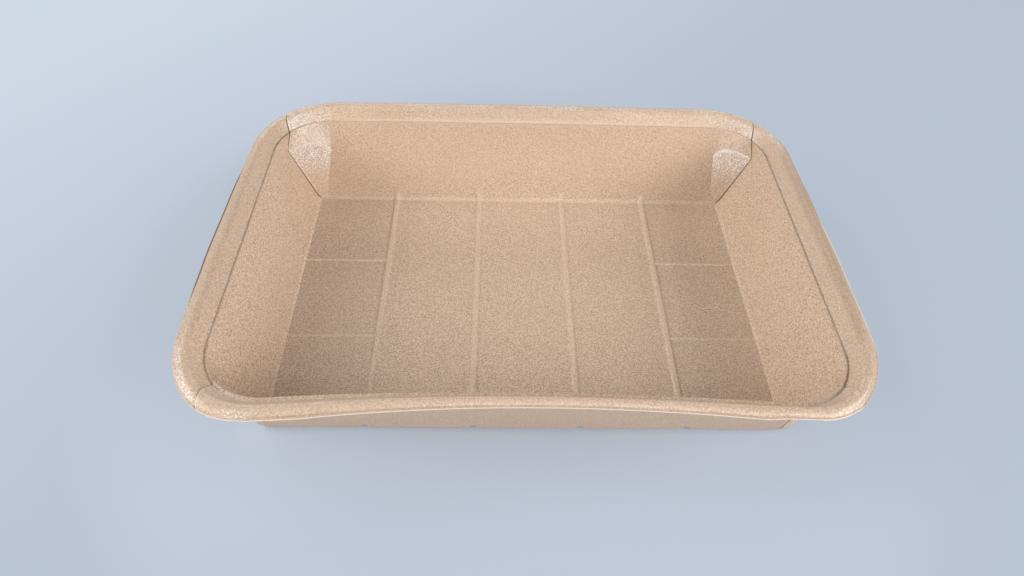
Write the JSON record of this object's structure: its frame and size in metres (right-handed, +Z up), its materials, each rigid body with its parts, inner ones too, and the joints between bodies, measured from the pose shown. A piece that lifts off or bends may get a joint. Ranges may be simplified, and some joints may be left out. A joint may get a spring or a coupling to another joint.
{
  "type": "food tray",
  "caption": "Shallow rectangular food tray folded and glued from kraft board, with flat corner gussets, a ribbed floor and a flared, rounded rim.",
  "frame": {"origin": "centre of the floor's underside, on the table", "axes": "+X along the tray's length, +Y across it, +Z up out of the tray"},
  "size_m": [0.2478, 0.1778, 0.0425],
  "materials": {
    "kraft_board": "satin film on kraft"
  },
  "bodies": {
    "root": {"food_tray": "kraft_board"}
  },
  "joints": []
}
